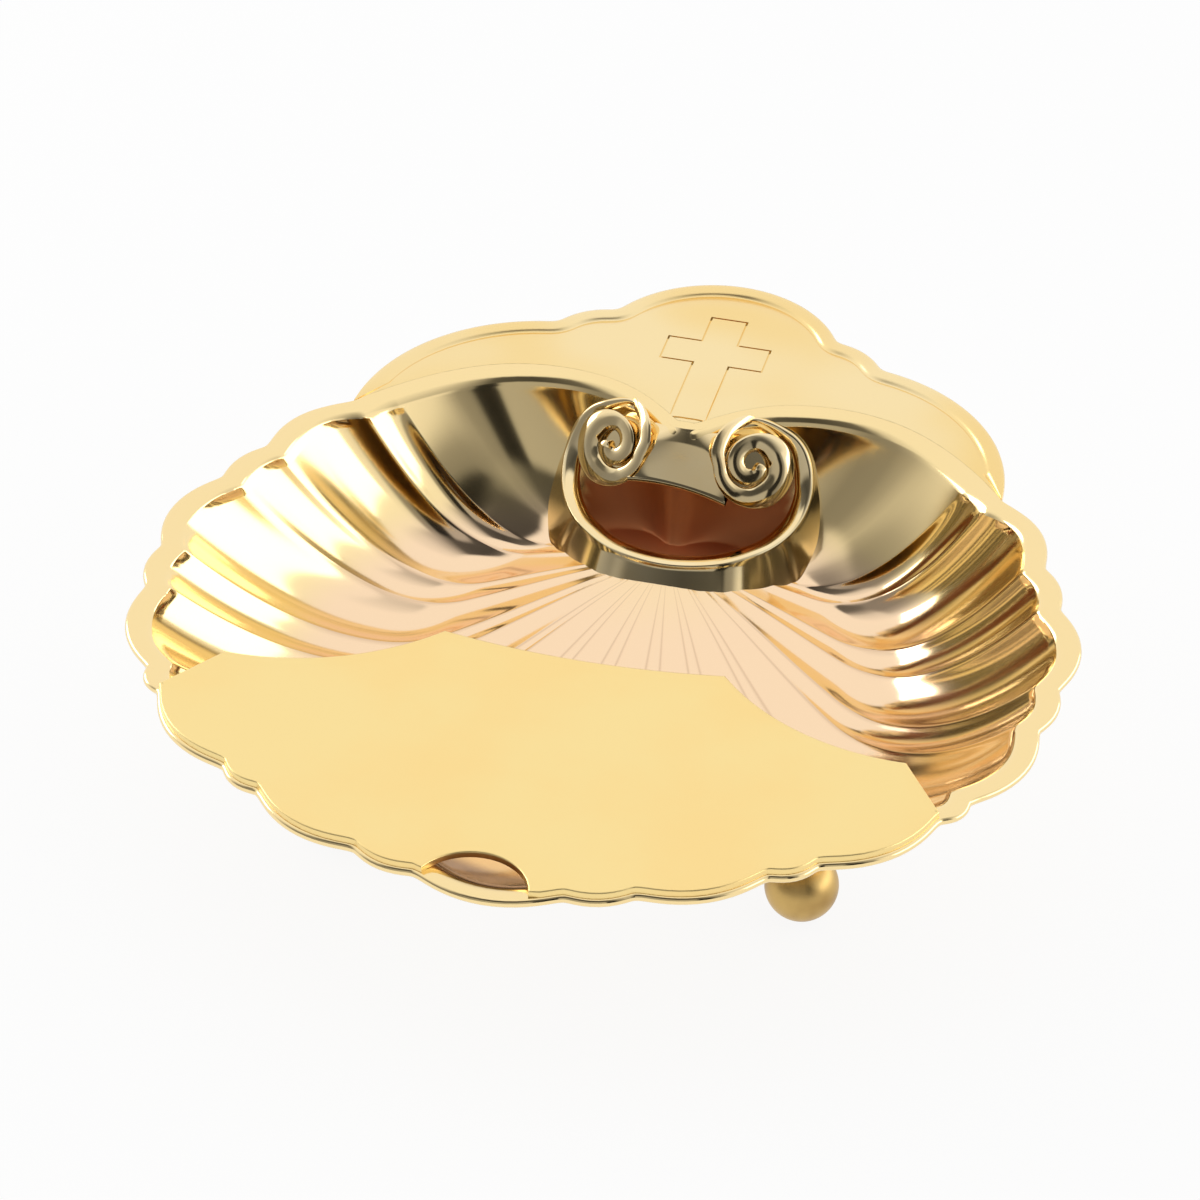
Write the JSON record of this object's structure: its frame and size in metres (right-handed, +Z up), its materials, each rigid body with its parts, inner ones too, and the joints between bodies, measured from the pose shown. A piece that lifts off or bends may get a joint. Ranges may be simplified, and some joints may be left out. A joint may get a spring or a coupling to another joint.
{
  "type": "baptismal shell",
  "caption": "Gold-plated scallop dish on ball feet, with a lobed crown to hold it by, ram's-horn scrolls at the umbo and a notched guard over the pouring lip.",
  "frame": {"origin": "on the table under the middle of the shell's width and depth", "axes": "+Z up, +Y from the pouring lip to the crown, +X to the right of someone who faces the pouring lip"},
  "size_m": [0.1306, 0.144, 0.0314],
  "materials": {
    "polished_gold": "mirror-polished gold plate",
    "satin_gold": "satin gold plate"
  },
  "bodies": {
    "root": {"bowl": "polished_gold", "crown_plate": "polished_gold", "umbo_collar": "polished_gold", "left_scroll": "polished_gold", "right_scroll": "polished_gold", "umbo_saddle": "polished_gold", "pouring_guard": "polished_gold", "front_left_foot": "satin_gold", "front_left_stud": "satin_gold", "front_right_foot": "satin_gold", "front_right_stud": "satin_gold", "back_foot": "satin_gold", "back_stud": "satin_gold"}
  },
  "joints": []
}
